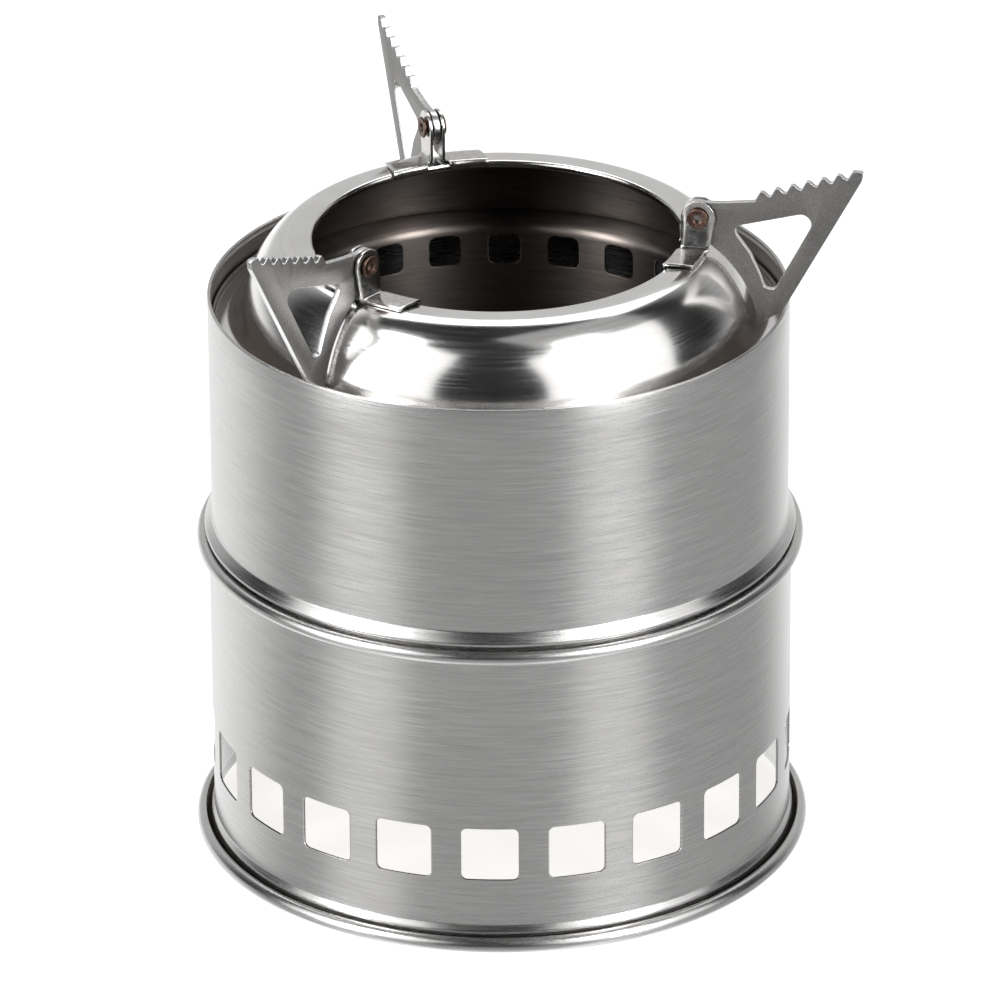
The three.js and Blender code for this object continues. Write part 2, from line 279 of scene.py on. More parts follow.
def sheet_outline(path, thickness=SHEET):
    """Closed outline of a sheet with half-round edges whose middle follows the path."""
    half = thickness / 2
    left, right = side_of(path, half), side_of(path, -half)
    return left + round_end(path, half) + right[::-1] + round_end(path[::-1], half)


def opening_loop(half_w, half_h, corner, across, up):
    """A rounded rectangle's points from its lower left, each arc shared between its two sides."""
    signs = {225: (-1, -1), 315: (1, -1), 45: (1, 1), 135: (-1, 1)}
    w, h = half_w - corner, half_h - corner
    bend = 3  # steps in half an arc
    points = []
    for start, count in ((225, across), (315, up), (45, across), (135, up)):
        sx, sy = signs[start]
        ex, ey = signs[(start + 90) % 360]
        leave = arc(sx * w, sy * h, corner, start, start + 45, bend)
        arrive = arc(ex * w, ey * h, corner, start + 45, start + 90, bend)
        straight = count - 2 * bend
        a, b = leave[-1], arrive[0]
        middle = [
            (a[0] + (b[0] - a[0]) * k / straight, a[1] + (b[1] - a[1]) * k / straight)
            for k in range(1, straight)
        ]
        points += leave + middle + arrive[:-1]
    return points


def cell_loop(half_w, low, high, across, up):
    """The points of a plain rectangle, in the same order and number as an opening's loop."""
    points = [(-half_w + 2 * half_w * k / across, low) for k in range(across)]
    points += [(half_w, low + (high - low) * k / up) for k in range(up)]
    points += [(half_w - 2 * half_w * k / across, high) for k in range(across)]
    points += [(-half_w, high - (high - low) * k / up) for k in range(up)]
    return points


def add_pierced_band(mesh, middle_radius, band, openings, across, up=10):
    """A sheet band round the stove between two heights, with a row of rounded openings in it."""
    outer, inner = middle_radius + SHEET / 2, middle_radius - SHEET / 2
    soft = 0.1  # the openings' rounded edge
    half_soft = soft * (1 - math.sqrt(0.5))
    shares = (0, 0.4, 0.75, 0.93)  # of the way from the cell's border to the opening
    centre_z = (openings["bottom"] + openings["top"]) / 2
    half_h = (openings["top"] - openings["bottom"]) / 2
    half_w = openings["width"] / 2
    pitch = 2 * math.pi * middle_radius / openings["count"]
    cell = cell_loop(pitch / 2, band[0] - centre_z, band[1] - centre_z, across, up)

    def hole(grow):
        return opening_loop(half_w + grow, half_h + grow, openings["corner"] + grow, across, up)

    def blend(share):
        pairs = zip(cell, hole(soft))
        return [(a[0] + (b[0] - a[0]) * share, a[1] + (b[1] - a[1]) * share) for a, b in pairs]

    layers = [(blend(share), outer) for share in shares]
    layers += [(hole(soft), outer), (hole(half_soft), outer - half_soft), (hole(0), outer - soft)]
    layers += [(hole(0), inner + soft), (hole(half_soft), inner + half_soft), (hole(soft), inner)]
    layers += [(blend(share), inner) for share in shares[::-1]]
    for n in range(openings["count"]):
        turned = math.radians(openings["phase"]) + 2 * math.pi * n / openings["count"]
        rows = [
            [mesh.verts.new(at(r, turned + s / middle_radius, centre_z + z)) for s, z in loop]
            for loop, r in layers
        ]
        for a, b in zip(rows, rows[1:]):
            bridge(mesh, a, b)


def pierced_shell(name, path, middle_radius, band, openings, across=12):
    """A pressed sheet with a row of openings between two heights of its wall."""
    outline = sheet_outline(path)
    left = min(path.index((middle_radius, z)) for z in band)
    skipped = (left, len(outline) - END_STEPS - 1 - left)
    steps = openings["count"] * across
    start = math.radians(openings["phase"]) - math.pi / openings["count"]
    mesh = bmesh.new()
    add_revolved(mesh, outline, steps, start, skipped=skipped)  # the band takes the skipped rows' place
    add_pierced_band(mesh, middle_radius, band, openings, across)
    return finished(name, mesh)


def plate(name, outline, holes, thickness, bevel):
    """A flat plate in the plane y = 0, with its outlines in (u, v) millimetres from the rivet.

    A filled 2-D curve gives the flat faces, and its bevel the broken edges.
    """
    curve = bpy.data.curves.new(name, "CURVE")
    curve.dimensions = "2D"
    curve.fill_mode = "BOTH"
    curve.extrude = (thickness / 2 - bevel) * MM
    curve.bevel_depth = bevel * MM
    curve.bevel_resolution = 2
    curve.offset = -bevel * MM
    for loop in [outline, *holes]:
        spline = curve.splines.new("POLY")
        spline.points.add(len(loop) - 1)
        for p, (u, v) in zip(spline.points, loop):
            p.co = (u * MM, v * MM, 0, 1)
        spline.use_cyclic_u = True
    holder = bpy.data.objects.new(name + "_curve", curve)
    bpy.context.scene.collection.objects.link(holder)
    depsgraph = bpy.context.evaluated_depsgraph_get()
    flat = bpy.data.meshes.new_from_object(holder.evaluated_get(depsgraph))
    bpy.data.objects.remove(holder)
    mesh = bmesh.new()
    mesh.from_mesh(flat)
    bpy.data.meshes.remove(flat)
    upright = Matrix.Rotation(math.pi / 2, 4, "X")
    bmesh.ops.transform(mesh, matrix=Matrix.Translation(PIVOT) @ upright, verts=mesh.verts)
    return finished(name, mesh, crease=50)


def circle(x, y, radius, steps):
    """Points round a whole circle."""
    return arc(x, y, radius, 0, 360, steps)[:-1]


def arm_turn(number):
    """Rotation from +X to an arm's direction."""
    return Matrix.Rotation(2 * math.pi * (number - 1) / ARM_COUNT, 4, "Z")


def turned_to_arm(made, number):
    """Turns a piece built for +X about the stove's axis to its arm's place."""
    about = Matrix.Translation((AXIS_X * MM, 0, 0))
    made.data.transform(about @ arm_turn(number) @ about.inverted())
    return made


# ---- Materials --------------------------------------------------------------------------------


class Nodes:
    """Small helper that adds and joins shader nodes."""

    def __init__(self, material):
        """Starts an empty node tree on a material or a world."""
        material.use_nodes = True
        self.tree = material.node_tree
        self.tree.nodes.clear()

    def add(self, kind, inputs=None, **settings):
        """A new node with its settings, and its inputs set or joined by name or number."""
        node = self.tree.nodes.new("ShaderNode" + kind)
        for key, value in settings.items():
            setattr(node, key, value)
        for key, value in (inputs or {}).items():
            self.put(node.inputs[key], value)
        return node

    def put(self, socket, value):
        """Joins a socket to another one, or sets it to a value."""
        if isinstance(value, bpy.types.NodeSocket):
            self.tree.links.new(value, socket)
        else:
            socket.default_value = value

    def streaks(self, scale, detail=3.0, roughness=0.6):
        """Noise stretched by a scale per metre along each axis, centred on the stove's axis."""
        place = self.add("TexCoord").outputs["Object"]
        moved = self.add("Mapping", {"Vector": place, "Location": (-AXIS_X * MM, 0, 0)})
        stretched = self.add("VectorMath", {0: moved.outputs[0], 1: scale}, operation="MULTIPLY")
        noise = self.add(
            "TexNoise",
            {"Vector": stretched.outputs[0], "Scale": 1.0, "Detail": detail, "Roughness": roughness},
        )
        return noise.outputs["Fac"]

    def ranged(self, value, low, high, start=0.3, end=0.7):
        """A noise value spread over low to high."""
        spread = self.add(
            "MapRange",
            {"Value": value, "From Min": start, "From Max": end, "To Min": low, "To Max": high},
        )
        return spread.outputs["Result"]

    def between(self, factor, dark, light):
        """A colour between two others."""
        mixed = self.add("Mix", {"Factor": factor}, data_type="RGBA")
        self.put(mixed.inputs[6], dark)
        self.put(mixed.inputs[7], light)
        return mixed.outputs[2]

    def bump(self, height, strength, distance_mm):
        """A normal tilted by a height."""
        inputs = {"Height": height, "Strength": strength, "Distance": distance_mm * MM}
        return self.add("Bump", inputs).outputs["Normal"]

    def metal(self, color, roughness, normal, anisotropic=0.0):
        """Bare metal, brushed round the stove's axis if it is anisotropic."""
        inputs = {"Base Color": color, "Roughness": roughness, "Metallic": 1.0, "Normal": normal}
        shader = self.add("BsdfPrincipled", inputs)
        if anisotropic:
            shader.inputs["Anisotropic"].default_value = anisotropic
            # A quarter turn, so that the sheen spreads across the brushing
            shader.inputs["Anisotropic Rotation"].default_value = 0.25
            tangent = self.add("Tangent", direction_type="RADIAL", axis="Z")
            self.put(shader.inputs["Tangent"], tangent.outputs[0])
        self.tree.links.new(shader.outputs[0], self.add("OutputMaterial").inputs[0])

    def glowing(self, color, glow, strength):
        """A dull surface that gives off a little light of its own."""
        shader = self.add("BsdfPrincipled", {"Base Color": color, "Roughness": 0.9})
        shader.inputs["Emission Color"].default_value = glow
        shader.inputs["Emission Strength"].default_value = strength
        self.tree.links.new(shader.outputs[0], self.add("OutputMaterial").inputs[0])


def grey(value, warmth):
    """A neutral metal colour, made a little warmer."""
    return (value * (1 + warmth), value, value * (1 - warmth), 1.0)


def brushed_steel():
    """Cold-rolled sheet brushed round the stove: short fine streaks and a soft upright sheen."""
    material = bpy.data.materials.new("brushed_steel")
    nodes = Nodes(material)
    fine = nodes.streaks((95, 95, 3800))
    broad = nodes.streaks((75, 75, 2300), detail=3)
    cloud = nodes.streaks((25, 25, 25), detail=2)
    both = nodes.add("Math", {0: fine, 1: broad}, operation="ADD").outputs[0]
    shade = nodes.ranged(both, 0.0, 1.0, 0.75, 1.25)
    color = nodes.between(shade, grey(0.51, 0.012), grey(0.62, 0.012))
    rough = nodes.add(
        "Math",
        {0: nodes.ranged(both, 0.24, 0.30, 0.75, 1.25), 1: nodes.ranged(cloud, -0.02, 0.02)},
        operation="ADD",
    ).outputs[0]
    nodes.metal(color, rough, nodes.bump(both, 0.25, 0.01), anisotropic=0.5)
    return material


def polished_steel():
    """Spun and polished sheet, with faint turning marks and a slight waviness."""
    material = bpy.data.materials.new("polished_steel")
    nodes = Nodes(material)
    marks = nodes.streaks((70, 70, 2600))
    wave = nodes.streaks((60, 60, 60), detail=1)
    color = nodes.between(nodes.ranged(marks, 0, 1), grey(0.70, 0.015), grey(0.78, 0.012))
    rough = nodes.ranged(marks, 0.13, 0.19)
    height = nodes.add("Math", {0: marks, 1: wave}, operation="ADD").outputs[0]
    nodes.metal(color, rough, nodes.bump(height, 0.12, 0.02))
    return material


def inner_steel():
    """Mill-finish sheet inside the stove: duller, brushed and faintly browned, its base colour also
    darkened as painted shade of the stove's shaded inside.
    """
    material = bpy.data.materials.new("inner_steel")
    nodes = Nodes(material)
    fine = nodes.streaks((130, 130, 4200))
    tint = nodes.streaks((30, 30, 45), detail=3)
    # Painted shade in part: these dark tones stand for the shade inside the stove as well as the steel's
    # own browning.
    dark = nodes.between(nodes.ranged(fine, 0, 1), (0.13, 0.118, 0.108, 1), (0.23, 0.216, 0.204, 1))
    color = nodes.between(nodes.ranged(tint, 0, 0.6), dark, (0.17, 0.138, 0.12, 1))
    rough = nodes.ranged(fine, 0.31, 0.37)
    nodes.metal(color, rough, nodes.bump(fine, 0.15, 0.01), anisotropic=0.9)
    return material


def bracket_steel():
    """Bright pressed strip with light handling marks."""
    material = bpy.data.materials.new("bracket_steel")
    nodes = Nodes(material)
    marks = nodes.streaks((900, 900, 900), detail=4)
    color = nodes.between(nodes.ranged(marks, 0, 1), grey(0.50, 0.02), grey(0.66, 0.015))
    nodes.metal(color, nodes.ranged(marks, 0.14, 0.26), nodes.bump(marks, 0.15, 0.02))
    return material


def arm_steel():
    """Tumbled plate: an even, fine-grained matte grey."""
    material = bpy.data.materials.new("arm_steel")
    nodes = Nodes(material)
    grain = nodes.streaks((2600, 2600, 2600), detail=3, roughness=0.7)
    patch = nodes.streaks((120, 120, 120), detail=3)
    base = nodes.between(nodes.ranged(grain, 0, 1), grey(0.15, 0.02), grey(0.30, 0.02))
    color = nodes.between(nodes.ranged(patch, 0, 0.35), base, grey(0.32, 0.02))
    nodes.metal(color, nodes.ranged(grain, 0.36, 0.5), nodes.bump(grain, 0.35, 0.02))
    return material


def sheared_edge():
    """The bright cut edge of a stamped plate."""
    material = bpy.data.materials.new("sheared_edge")
    nodes = Nodes(material)
    grain = nodes.streaks((900, 900, 2500), detail=2)
    color = nodes.between(nodes.ranged(grain, 0, 1), grey(0.52, 0.01), grey(0.60, 0.01))
    nodes.metal(color, nodes.ranged(grain, 0.26, 0.32), nodes.bump(grain, 0.01, 0.02))
    return material


def rivet_copper():
    """Copper-plated rivet, browned and dull in the hollow."""
    material = bpy.data.materials.new("rivet_copper")
    nodes = Nodes(material)
    stain = nodes.streaks((1500, 1500, 1500), detail=4)
    color = nodes.between(nodes.ranged(stain, 0, 1), (0.05, 0.030, 0.024, 1), (0.19, 0.122, 0.097, 1))
    nodes.metal(color, nodes.ranged(stain, 0.3, 0.5), nodes.bump(stain, 0.3, 0.03))
    return material


MATERIALS = {
    "brushed_steel": brushed_steel(),
    "polished_steel": polished_steel(),
    "inner_steel": inner_steel(),
    "bracket_steel": bracket_steel(),
    "arm_steel": arm_steel(),
    "rivet_copper": rivet_copper(),
}
SHEARED_EDGE = sheared_edge()


def placed(made, node, body, slot):
    """Gives a piece its finish and puts it on its body in place of a CAD node."""
    made.data.materials.append(MATERIALS[slot])
    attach(made, body)
    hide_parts(node)
    return made


def refinish(made, material, chosen):
    """Gives another finish to the faces that pass a test."""
    made.data.materials.append(material)
    for face in made.data.polygons:
        face.material_index = int(chosen(face))


def shade_curl_inside(made):
    """Gives the closed inside of the foot's curl the dark inside finish: painted shade that deepens the
    groove above the foot.
    """

    def inside(face):
        r = math.hypot(face.center.x / MM - AXIS_X, face.center.y / MM)
        reach = math.hypot(r - (FOOT_RADIUS - FOOT_BEAD), face.center.z / MM - FOOT_BEAD)
        return reach < FOOT_BEAD - 0.2  # not on the curl's outer face

    refinish(made, MATERIALS["inner_steel"], inside)


def dull_and_shaded_underside(made):
    """Gives the ring's hidden side, all that faces down, the mill finish of the inside, whose dark colour
    is partly painted shade under the ring.
    """
    refinish(made, MATERIALS["inner_steel"], lambda face: face.normal.z < -0.1)


def dull_and_shaded_inside(made):
    """Gives the inside of the burner's wall the mill finish, from the chamber's top to the rim; its dark
    colour is partly painted shade in the gutter between the wall and the ring.
    """
    axis = Vector((AXIS_X * MM, 0))

    def seen_inside(face):
        inward = face.normal.xy.dot(face.center.xy - axis) < 0
        return inward and WALL_SPLIT < face.center.z / MM < RIM_TOP - RIM_FOLD

    refinish(made, MATERIALS["inner_steel"], seen_inside)


def brighten_edges(made, flat_normal):
    """Gives the cut faces of a plate the sheared finish: all that don't lie in its plane."""
    refinish(made, SHEARED_EDGE, lambda face: abs(face.normal.dot(flat_normal)) < 0.9)


# ---- Base -------------------------------------------------------------------------------------


def base_shell():
    """The base's wall between a curled foot and a curled top, with its row of air windows."""
    foot = FOOT_RADIUS - FOOT_BEAD
    flared = foot - FOOT_BEAD + SHEET / 2
    curl = TOP_BEAD - SHEET / 2
    path = arc(foot, FOOT_BEAD, FOOT_BEAD - SHEET / 2, 88, -180, 20)
    step = [(flared, 3, 0), (flared, FLARE_FROM, 1.5), (BASE_WALL, FLARE_TO, 1.5)]
    path += filleted([*step, (BASE_WALL, WINDOW_BAND[0] - 0.1, 0)])
    path += [(BASE_WALL, z) for z in WINDOW_BAND]
    path += arc(BASE_WALL + curl, BASE_TOP - TOP_BEAD, curl, 180, -118, 20)
    return pierced_shell("base_shell_visual", path, BASE_WALL, WINDOW_BAND, WINDOWS)


def ash_pan():
    """A shallow dish with a flat rim."""
    depth, floor_r, wall_r = 6.8, 45.8, 48.7
    rim = PAN_TOP - SHEET / 2
    floor_z = rim - depth
    path = filleted([(0, floor_z, 0), (floor_r, floor_z, 2), (wall_r, rim, 1.2), (PAN_RADIUS, rim, 0)])
    mesh = bmesh.new()
    left, right = side_of(path, SHEET / 2), side_of(path, -SHEET / 2)
    add_revolved(mesh, left + round_end(path, SHEET / 2) + right[::-1], ROUND, closed=False)
    return finished("ash_pan_visual", mesh)


def pan_tab(number):
    """A strip bent to an L, spot-welded by its upright leg."""
    low, high = box_mm("ash_pan_tab_1")
    thick, bend = 0.8, 1.1
    inner, outer = low.x - AXIS_X, high.x - AXIS_X - thick / 2
    shelf = low.z + thick / 2
    path = filleted([(inner, shelf, 0), (outer, shelf, bend), (outer, high.z, 0)])
    outline = sheet_outline(path, thick)
    mesh = bmesh.new()
    sides = [
        [mesh.verts.new(Vector(((AXIS_X + r) * MM, y * MM, z * MM))) for r, z in outline]
        for y in (low.y, high.y)
    ]
    bridge(mesh, *sides)
    for loop in sides:
        mesh.faces.new(loop)
    return turned_to_arm(finished(f"ash_pan_tab_{number}_visual", mesh), number)


# ---- Burner -----------------------------------------------------------------------------------


def folded_rim(outer_face, inner_face):
    """Outline of the wall's folded top edge: two beads with a fine groove between them."""
    fold_bottom = RIM_TOP - RIM_FOLD
    fold_width, bead, groove_depth = 0.75, 0.2, 0.32
    hem_inner = outer_face - fold_width
    groove = (hem_inner + outer_face) / 2
    rim = [(inner_face, fold_bottom - 0.15), (hem_inner + 0.05, fold_bottom)]
    rim += [(hem_inner, fold_bottom + 0.1)]
    rim += arc(hem_inner + bead, RIM_TOP - bead, bead, 180, 20, 5)
    rim += [(groove - 0.03, RIM_TOP - groove_depth), (groove + 0.03, RIM_TOP - groove_depth)]
    return rim + arc(outer_face - bead, RIM_TOP - bead, bead, 160, 0, 5)


def outer_wall():
    """Plain wall with a folded rim above and, below, the rib that rests on the base, and the neck."""
    nose_r = RIB_RADIUS - RIB_INSET - SHEET / 2 - RIB_NOSE
    underside = BASE_TOP + RIB_GAP + SHEET / 2
    slope = math.radians(50)
    nose = arc(nose_r, underside + RIB_NOSE, RIB_NOSE, 40, -90, 9)
    start_r, start_z = nose[0]
    slope_top = start_z + (start_r - UPPER_WALL) * math.tan(slope)
    wall = [(UPPER_WALL, WALL_SPLIT, 0), (UPPER_WALL, slope_top, 1.3), (start_r, start_z, 0)]
    path = filleted(wall, steps=6)[:-1]
    path += nose
    path += filleted([(nose_r, underside, 0), (NECK, underside, 0.9), (NECK, NECK_BOTTOM, 0)])[1:]
    outside, inside = side_of(path, SHEET / 2), side_of(path, -SHEET / 2)
    rim = folded_rim(UPPER_WALL + SHEET / 2, UPPER_WALL - SHEET / 2)
    mesh = bmesh.new()
    add_revolved(mesh, rim + outside + round_end(path, SHEET / 2) + inside[::-1], ROUND)
    return finished("outer_wall_visual", mesh)


def fire_chamber():
    """The inner wall: an upturned edge, a flange, a rounded shoulder, the ports and a lip at its foot."""
    edge = LIP_RADIUS - SHEET / 2
    flange = CHAMBER_SHOULDER
    bottom = CHAMBER_BOTTOM + SHEET / 2
    shoulder, lip = 2, 4  # the shoulder's radius and the lip's width
    bend_r = CHAMBER_WALL + shoulder
    path = filleted([(edge, CHAMBER_EDGE_TOP, 0), (edge, flange, 0.6), (bend_r, flange, 0)])
    path += arc(bend_r, flange - shoulder, shoulder, 90, 180, 10)[1:]
    path += [(CHAMBER_WALL, z) for z in PORT_BAND[::-1]]
    foot = [(CHAMBER_WALL, PORT_BAND[0], 0), (CHAMBER_WALL, bottom, 0.9), (CHAMBER_WALL - lip, bottom, 0)]
    path += filleted(foot)[1:]
    return pierced_shell("fire_chamber_visual", path, CHAMBER_WALL, PORT_BAND, PORTS)


def fire_grate():
    """Flat disc pierced by rings of round holes."""
    hole_radius = 3
    holes = [circle(0, 0, hole_radius, 32)]
    for ring, count in ((14, 6), (27, 12), (40, 18)):
        for angle in turns(count):
            holes.append(circle(ring * math.cos(angle), ring * math.sin(angle), hole_radius, 32))
    thick = box_mm("fire_grate")[1].z - GRATE_BOTTOM
    made = plate("fire_grate_visual", circle(0, 0, GRATE_RADIUS, 180), holes, thick, 0.15)
    centre = Vector((AXIS_X * MM, 0, (GRATE_BOTTOM + thick / 2) * MM))
    flat = Matrix.Rotation(-math.pi / 2, 4, "X")
    made.data.transform(Matrix.Translation(centre) @ flat @ Matrix.Translation(-PIVOT))
    return made


# ---- Pot ring ---------------------------------------------------------------------------------


def pot_ring():
    """A lip turned down into the opening, a crown, a swept side and a flange in the rim's gutter."""
    top = RING_TOP - SHEET / 2
    gap = 0.3  # to the chamber's flange below
    flange = CHAMBER_SHOULDER + SHEET / 2 + gap + SHEET / 2
    r = RING_OPENING
    lip_r, lip_bend, lip_drop = r + SHEET / 2, 0.5, 1.1
    waist = (r + 13.1, top - 8.3)  # where the crown's curve turns into the side's
    path = [(lip_r, top - lip_drop)]
    path += arc(lip_r + lip_bend, top - lip_bend, lip_bend, 180, 90, 4)
    path += bezier((r + 4, top), (r + 7.5, top - 0.1), (r + 10.5, top - 3.4), waist, 14)
    path += bezier(waist, (r + 15.6, top - 13.4), (r + 15.9, flange + 0.1), (r + 18.9, flange), 14)[1:]
    path += [(RING_EDGE, flange)]
    mesh = bmesh.new()
    add_revolved(mesh, sheet_outline(path), RING_ROUND)
    return finished("pot_ring_visual", mesh)


# ---- Arms, brackets and rivets ----------------------------------------------------------------


def plain(points):
    """Points as corners without a radius."""
    return [(*p, 0) for p in points]


def arm_outline():
    """Outline of an arm round its rivet, from the eye over the teeth, down the outer edge and back."""
    eye = 3.6
    pitch, rise, last = 3.32, 1.03, 6  # of the seven teeth, which climb outwards
    rim_corner, knee = (12.9, -22.9), (9.1, -13.4)
    corners = plain(arc(0, 0, eye, 250, 70, 20))
    corners += plain(bezier((1.23, 3.38), (4.6, 3.2), (7.7, 3.8), (11.4, 4.2), 8)[1:])
    for i in range(last + 1):
        u, v = 12.0 + pitch * i, 4.3 + rise * i
        corners.append((u + 0.02 * pitch, v, 0.45))
        corners.append((u + 0.38 * pitch, v + rise + 1.25, 0.38))
        if i < last:
            corners.append((u + 0.62 * pitch, v + rise + 1.22, 0.38))
    corners += [(35.5, 12.75, 0.5), (35.2, 10.7, 0.8)]
    corners += plain(arc(0, 0, 27.5, -47, -59, 6))  # clears the rim as the arm folds
    corners += [(13.3, -24.3, 0.5), (*rim_corner, 0)]
    corners += plain(bezier(rim_corner, (12.2, -19.4), (10.9, -16.2), knee, 8)[1:])
    corners += plain(bezier(knee, (6.8, -10.0), (3.5, -6.9), (-0.6, -3.9), 8)[1:])
    return filleted(corners, closed=True, steps=4)


def arm_window():
    """The rounded triangular cut-out, with one bowed side."""
    corners = [(6.9, -2.0, 1.5), (11.2, -7.9, 0), (13.2, -12.4, 0), (15.3, -18.4, 1.6), (26.4, 3.2, 2.2)]
    return filleted(corners, closed=True, steps=7)


def pot_arm(number):
    """A stamped plate with its rivet hole and window."""
    holes = [circle(0, 0, 1.8, 24), arm_window()]
    return plate(f"pot_arm_{number}_visual", arm_outline(), holes, ARM_THICK, 0.12)


def bracket(number, word):
    """Half a bracket: an upright ear, a bend, a foot along the ring's lip and a hook over its edge."""
    side = BRACKET_SIDES[word]
    thick = 0.6
    ear, ear_y = 3.7, 1.4  # the ear's half-width, and its distance from the arm's middle
    foot_z = RING_TOP + 0.6
    foot_inner, foot_outer = 39.4, 45.6
    foot_rows = (2.6, 4, 5.5, 7, 8.5, 10, 10.9)  # distances from the arm's middle
    crown, droop = 43, 0.05  # radius where the ring's crown starts, and how fast it falls
    bend, hook_bend, hook_drop = 0.8, 0.5, 1.6
    taper = 0.3  # share of its outer half-width that the ear loses on its way down
    across = 6
    mesh = bmesh.new()

    def vertex(r, y, z):
        return mesh.verts.new(((AXIS_X + math.sqrt(r * r - y * y)) * MM, side * y * MM, z * MM))

    def radii(low, high):
        return [low + (high - low) * k / across for k in range(across + 1)]

    def fall(r):
        """How far the foot follows the ring's crown down."""
        return droop * max(r - crown, 0) ** 2

    upright = []
    for degrees in range(80, -1, -10):
        a = math.radians(degrees)
        w = ear * math.cos(a)
        upright.append((ear_y, PIVOT_HEIGHT + ear * math.sin(a), PIVOT_RADIUS - w, PIVOT_RADIUS + w))
    for share in (0.35, 0.7, 1.0):
        z = PIVOT_HEIGHT + (foot_z + bend - PIVOT_HEIGHT) * share
        upright.append((ear_y, z, PIVOT_RADIUS - ear, PIVOT_RADIUS + ear * (1 - taper * share)))
    for degrees in (30, 60, 90):
        a = math.radians(degrees)
        y = ear_y + bend * (1 - math.cos(a))
        z = foot_z + bend * (1 - math.sin(a))
        upright.append((y, z, PIVOT_RADIUS - ear, PIVOT_RADIUS + ear * (1 - taper)))
    rows = [[vertex(r, y, z) for r in radii(inner, outer)] for y, z, inner, outer in upright]
    foot = radii(foot_inner + hook_bend, foot_outer)
    foot_grid = [[vertex(r, y, foot_z - fall(r)) for r in foot] for y in foot_rows]
    rows += foot_grid
    hook = arc(foot_inner + hook_bend, foot_z - hook_bend, hook_bend, 90, 180, 4)[1:]
    hook += [(foot_inner, foot_z - hook_drop)]
    hooked = [line[:1] + [vertex(r, y, z) for r, z in hook] for y, line in zip(foot_rows, foot_grid)]
    for grid in (rows, hooked):
        for a, b in zip(grid, grid[1:]):
            bridge(mesh, a, b, closed=False)
    made = finished(f"arm_bracket_{word}_{number}_visual", mesh)
    thicken(made, thick)
    return made


def thicken(made, thick):
    """Turns a middle surface into sheet with softened edges and applies it."""
    solid = made.modifiers.new("sheet", "SOLIDIFY")
    solid.thickness = thick * MM
    solid.offset = 0
    solid.use_even_offset = True
    soft = made.modifiers.new("edges", "BEVEL")
    soft.width = 0.12 * MM
    soft.segments = 2
    soft.limit_method = "ANGLE"
    soft.angle_limit = math.radians(50)
    soft.use_clamp_overlap = True
    depsgraph = bpy.context.evaluated_depsgraph_get()
    applied = bpy.data.meshes.new_from_object(made.evaluated_get(depsgraph))
    made.modifiers.clear()
    mesh = bmesh.new()
    mesh.from_mesh(applied)
    bpy.data.meshes.remove(applied)
    mark_creases(mesh, 45)
    mesh.to_mesh(made.data)
    mesh.free()


def rivet(number):
    """A hollow rivet with a rolled head at each end, its axis across the arm."""
    low, high = box_mm("rivet_1")
    half = (high.y - low.y) / 2
    head = (high.z - low.z) / 2
    shank, head_thick = 1.5, 0.5
    roll, mouth, dish = 0.28, 0.35, 0.1  # the head's rolled edge, the bore's rounded mouth, its depth
    under = half - head_thick
    upper = [(shank, under), (head - 0.3, under)]
    upper += arc(head - roll, half - roll, roll, -60, 120, 6)
    upper += arc(RIVET_BORE + mouth, half - dish - mouth, mouth, 90, 180, 4)
    lower = [(r, -z) for r, z in upper[::-1]]
    mesh = bmesh.new()
    rings = [
        [mesh.verts.new(PIVOT + Vector((r * math.cos(a), h, r * math.sin(a))) * MM) for a in turns(40)]
        for r, h in lower + upper
    ]
    for i, ring in enumerate(rings):
        bridge(mesh, ring, rings[(i + 1) % len(rings)])
    return finished(f"rivet_{number}_visual", mesh)


# ---- Assembly ---------------------------------------------------------------------------------

# Painted shade: the inside of the foot's curl is darkened so that the groove reads black.
shade_curl_inside(placed(base_shell(), "base_shell", "base", "brushed_steel"))
placed(ash_pan(), "ash_pan", "pan", "inner_steel")
# Partly painted shade: the inside of the burner's wall takes the dark inner finish.
dull_and_shaded_inside(placed(outer_wall(), "outer_wall", "burner", "brushed_steel"))
placed(fire_chamber(), "fire_chamber", "burner", "inner_steel")
placed(fire_grate(), "fire_grate", "burner", "inner_steel")
# Partly painted shade: the ring's underside takes the dark inner finish.
dull_and_shaded_underside(placed(pot_ring(), "pot_ring", "ring", "polished_steel"))
for n in range(1, ARM_COUNT + 1):
    placed(pan_tab(n), f"ash_pan_tab_{n}", "base", "inner_steel")
    for word in BRACKET_SIDES:
        placed(turned_to_arm(bracket(n, word), n), f"arm_bracket_{word}_{n}", "ring", "bracket_steel")
    placed(turned_to_arm(rivet(n), n), f"rivet_{n}", "ring", "rivet_copper")
    arm = placed(turned_to_arm(pot_arm(n), n), f"pot_arm_{n}", f"arm_{n}", "arm_steel")
    brighten_edges(arm, arm_turn(n) @ Vector((0, 1, 0)))

# ---- Stage, light and camera ------------------------------------------------------------------

# Azimuths are degrees to the right of the camera's side of the stove, seen from the camera
ROOM_GLOW = 0.02
SWEEP_GLOW = 0.65
GROUND_GLOW = 0.46
NEAR_GROUND = 2.2  # how much brighter the ground straight below is
# Azimuth and half-width in degrees, and added brightness
GROUND_POOLS = (
    (-57, 24, 0.42),
    (46, 22, 0.42),
    (-164, 76, 0.72),
)
